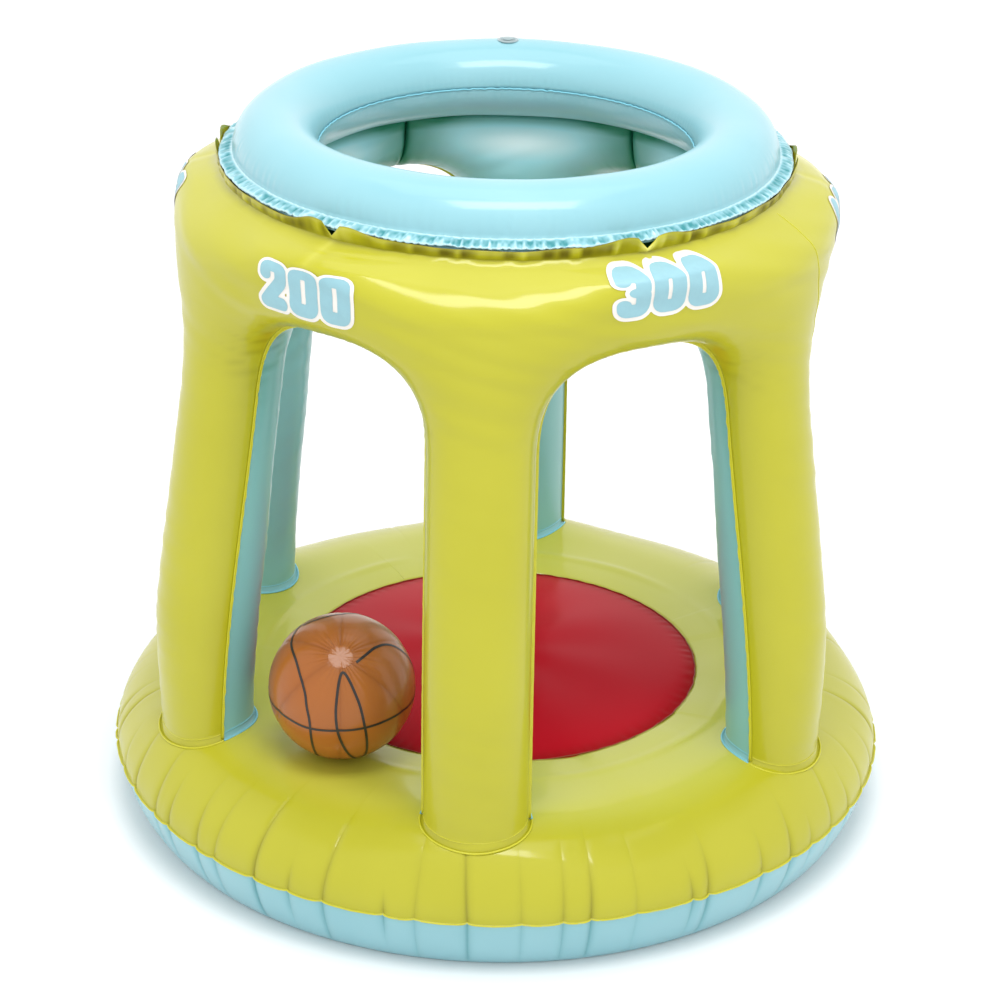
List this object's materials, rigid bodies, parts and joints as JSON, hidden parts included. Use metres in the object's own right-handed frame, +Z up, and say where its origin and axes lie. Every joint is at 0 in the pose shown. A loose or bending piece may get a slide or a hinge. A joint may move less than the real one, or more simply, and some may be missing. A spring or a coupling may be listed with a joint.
{
  "type": "inflatable basketball hoop",
  "caption": "Free-standing inflatable hoop game for a pool or garden: round base, arched tower, round hoop on top and a small air ball.",
  "frame": {"origin": "on the ground, under the middle of the base", "axes": "+Z up; -Y towards the leg that faces the viewer; +X to the viewer's right"},
  "size_m": [0.9144, 0.9144, 0.8388],
  "materials": {
    "yellow_vinyl": "glossy calendered vinyl film, slightly see-through",
    "light_blue_vinyl": "glossy calendered vinyl film, slightly see-through",
    "red_vinyl": "high-gloss vinyl film",
    "brown_vinyl": "glossy vinyl film",
    "soft_clear_vinyl": "moulded clear vinyl, satin"
  },
  "bodies": {
    "root": {"base_top_sheet": "yellow_vinyl", "base_bottom_sheet": "light_blue_vinyl", "floor_disc": "red_vinyl", "floor_tie_band": "light_blue_vinyl", "hoop_upper_sheet": "light_blue_vinyl", "hoop_lower_sheet": "light_blue_vinyl", "outer_leg_sheet_1": "yellow_vinyl", "outer_leg_sheet_2": "yellow_vinyl", "outer_leg_sheet_3": "yellow_vinyl", "outer_leg_sheet_4": "yellow_vinyl", "outer_leg_sheet_5": "yellow_vinyl", "outer_leg_sheet_6": "yellow_vinyl", "inner_leg_sheet_1": "light_blue_vinyl", "inner_leg_sheet_2": "light_blue_vinyl", "inner_leg_sheet_3": "light_blue_vinyl", "inner_leg_sheet_4": "light_blue_vinyl", "inner_leg_sheet_5": "light_blue_vinyl", "inner_leg_sheet_6": "light_blue_vinyl", "base_valve_seat": "soft_clear_vinyl", "tower_valve_seat": "soft_clear_vinyl", "hoop_valve_seat": "soft_clear_vinyl"},
    "ball": {"ball_gore_1": "brown_vinyl", "ball_gore_2": "brown_vinyl", "ball_gore_3": "brown_vinyl", "ball_gore_4": "brown_vinyl", "ball_gore_5": "brown_vinyl", "ball_gore_6": "brown_vinyl", "ball_pole_cap": "brown_vinyl", "ball_valve_seat": "soft_clear_vinyl"},
    "base_valve_stem": {"base_valve_stem": "soft_clear_vinyl"},
    "base_valve_plug": {"base_valve_plug": "soft_clear_vinyl"},
    "tower_valve_stem": {"tower_valve_stem": "soft_clear_vinyl"},
    "tower_valve_plug": {"tower_valve_plug": "soft_clear_vinyl"},
    "hoop_valve_stem": {"hoop_valve_stem": "soft_clear_vinyl"},
    "hoop_valve_plug": {"hoop_valve_plug": "soft_clear_vinyl"},
    "ball_valve_stem": {"ball_valve_stem": "soft_clear_vinyl"},
    "ball_valve_plug": {"ball_valve_plug": "soft_clear_vinyl"}
  },
  "joints": [
    {"name": "ball_lift_out", "type": "slide", "parent": "root", "child": "ball", "axis": [-0.5387, -0.8017, 0.2588], "range_m": [0, 0.45]},
    {"name": "base_valve_pull_out", "type": "slide", "parent": "root", "child": "base_valve_stem", "axis": [0, 0.9356, -0.3532], "range_m": [0, 0.009]},
    {"name": "base_plug_pull_out", "type": "slide", "parent": "base_valve_stem", "child": "base_valve_plug", "axis": [0, 0.9356, -0.3532], "range_m": [0, 0.01]},
    {"name": "tower_valve_pull_out", "type": "slide", "parent": "root", "child": "tower_valve_stem", "axis": [0, 0.992, 0.1264], "range_m": [0, 0.009]},
    {"name": "tower_plug_pull_out", "type": "slide", "parent": "tower_valve_stem", "child": "tower_valve_plug", "axis": [0, 0.992, 0.1264], "range_m": [0, 0.01]},
    {"name": "hoop_valve_pull_out", "type": "slide", "parent": "root", "child": "hoop_valve_stem", "axis": [0, 0, 1], "range_m": [0, 0.009]},
    {"name": "hoop_plug_pull_out", "type": "slide", "parent": "hoop_valve_stem", "child": "hoop_valve_plug", "axis": [0, 0, 1], "range_m": [0, 0.01]},
    {"name": "ball_valve_pull_out", "type": "slide", "parent": "ball", "child": "ball_valve_stem", "axis": [-0.0644, 0.6123, -0.788], "range_m": [0, 0.009]},
    {"name": "ball_plug_pull_out", "type": "slide", "parent": "ball_valve_stem", "child": "ball_valve_plug", "axis": [-0.0644, 0.6123, -0.788], "range_m": [0, 0.01]}
  ]
}
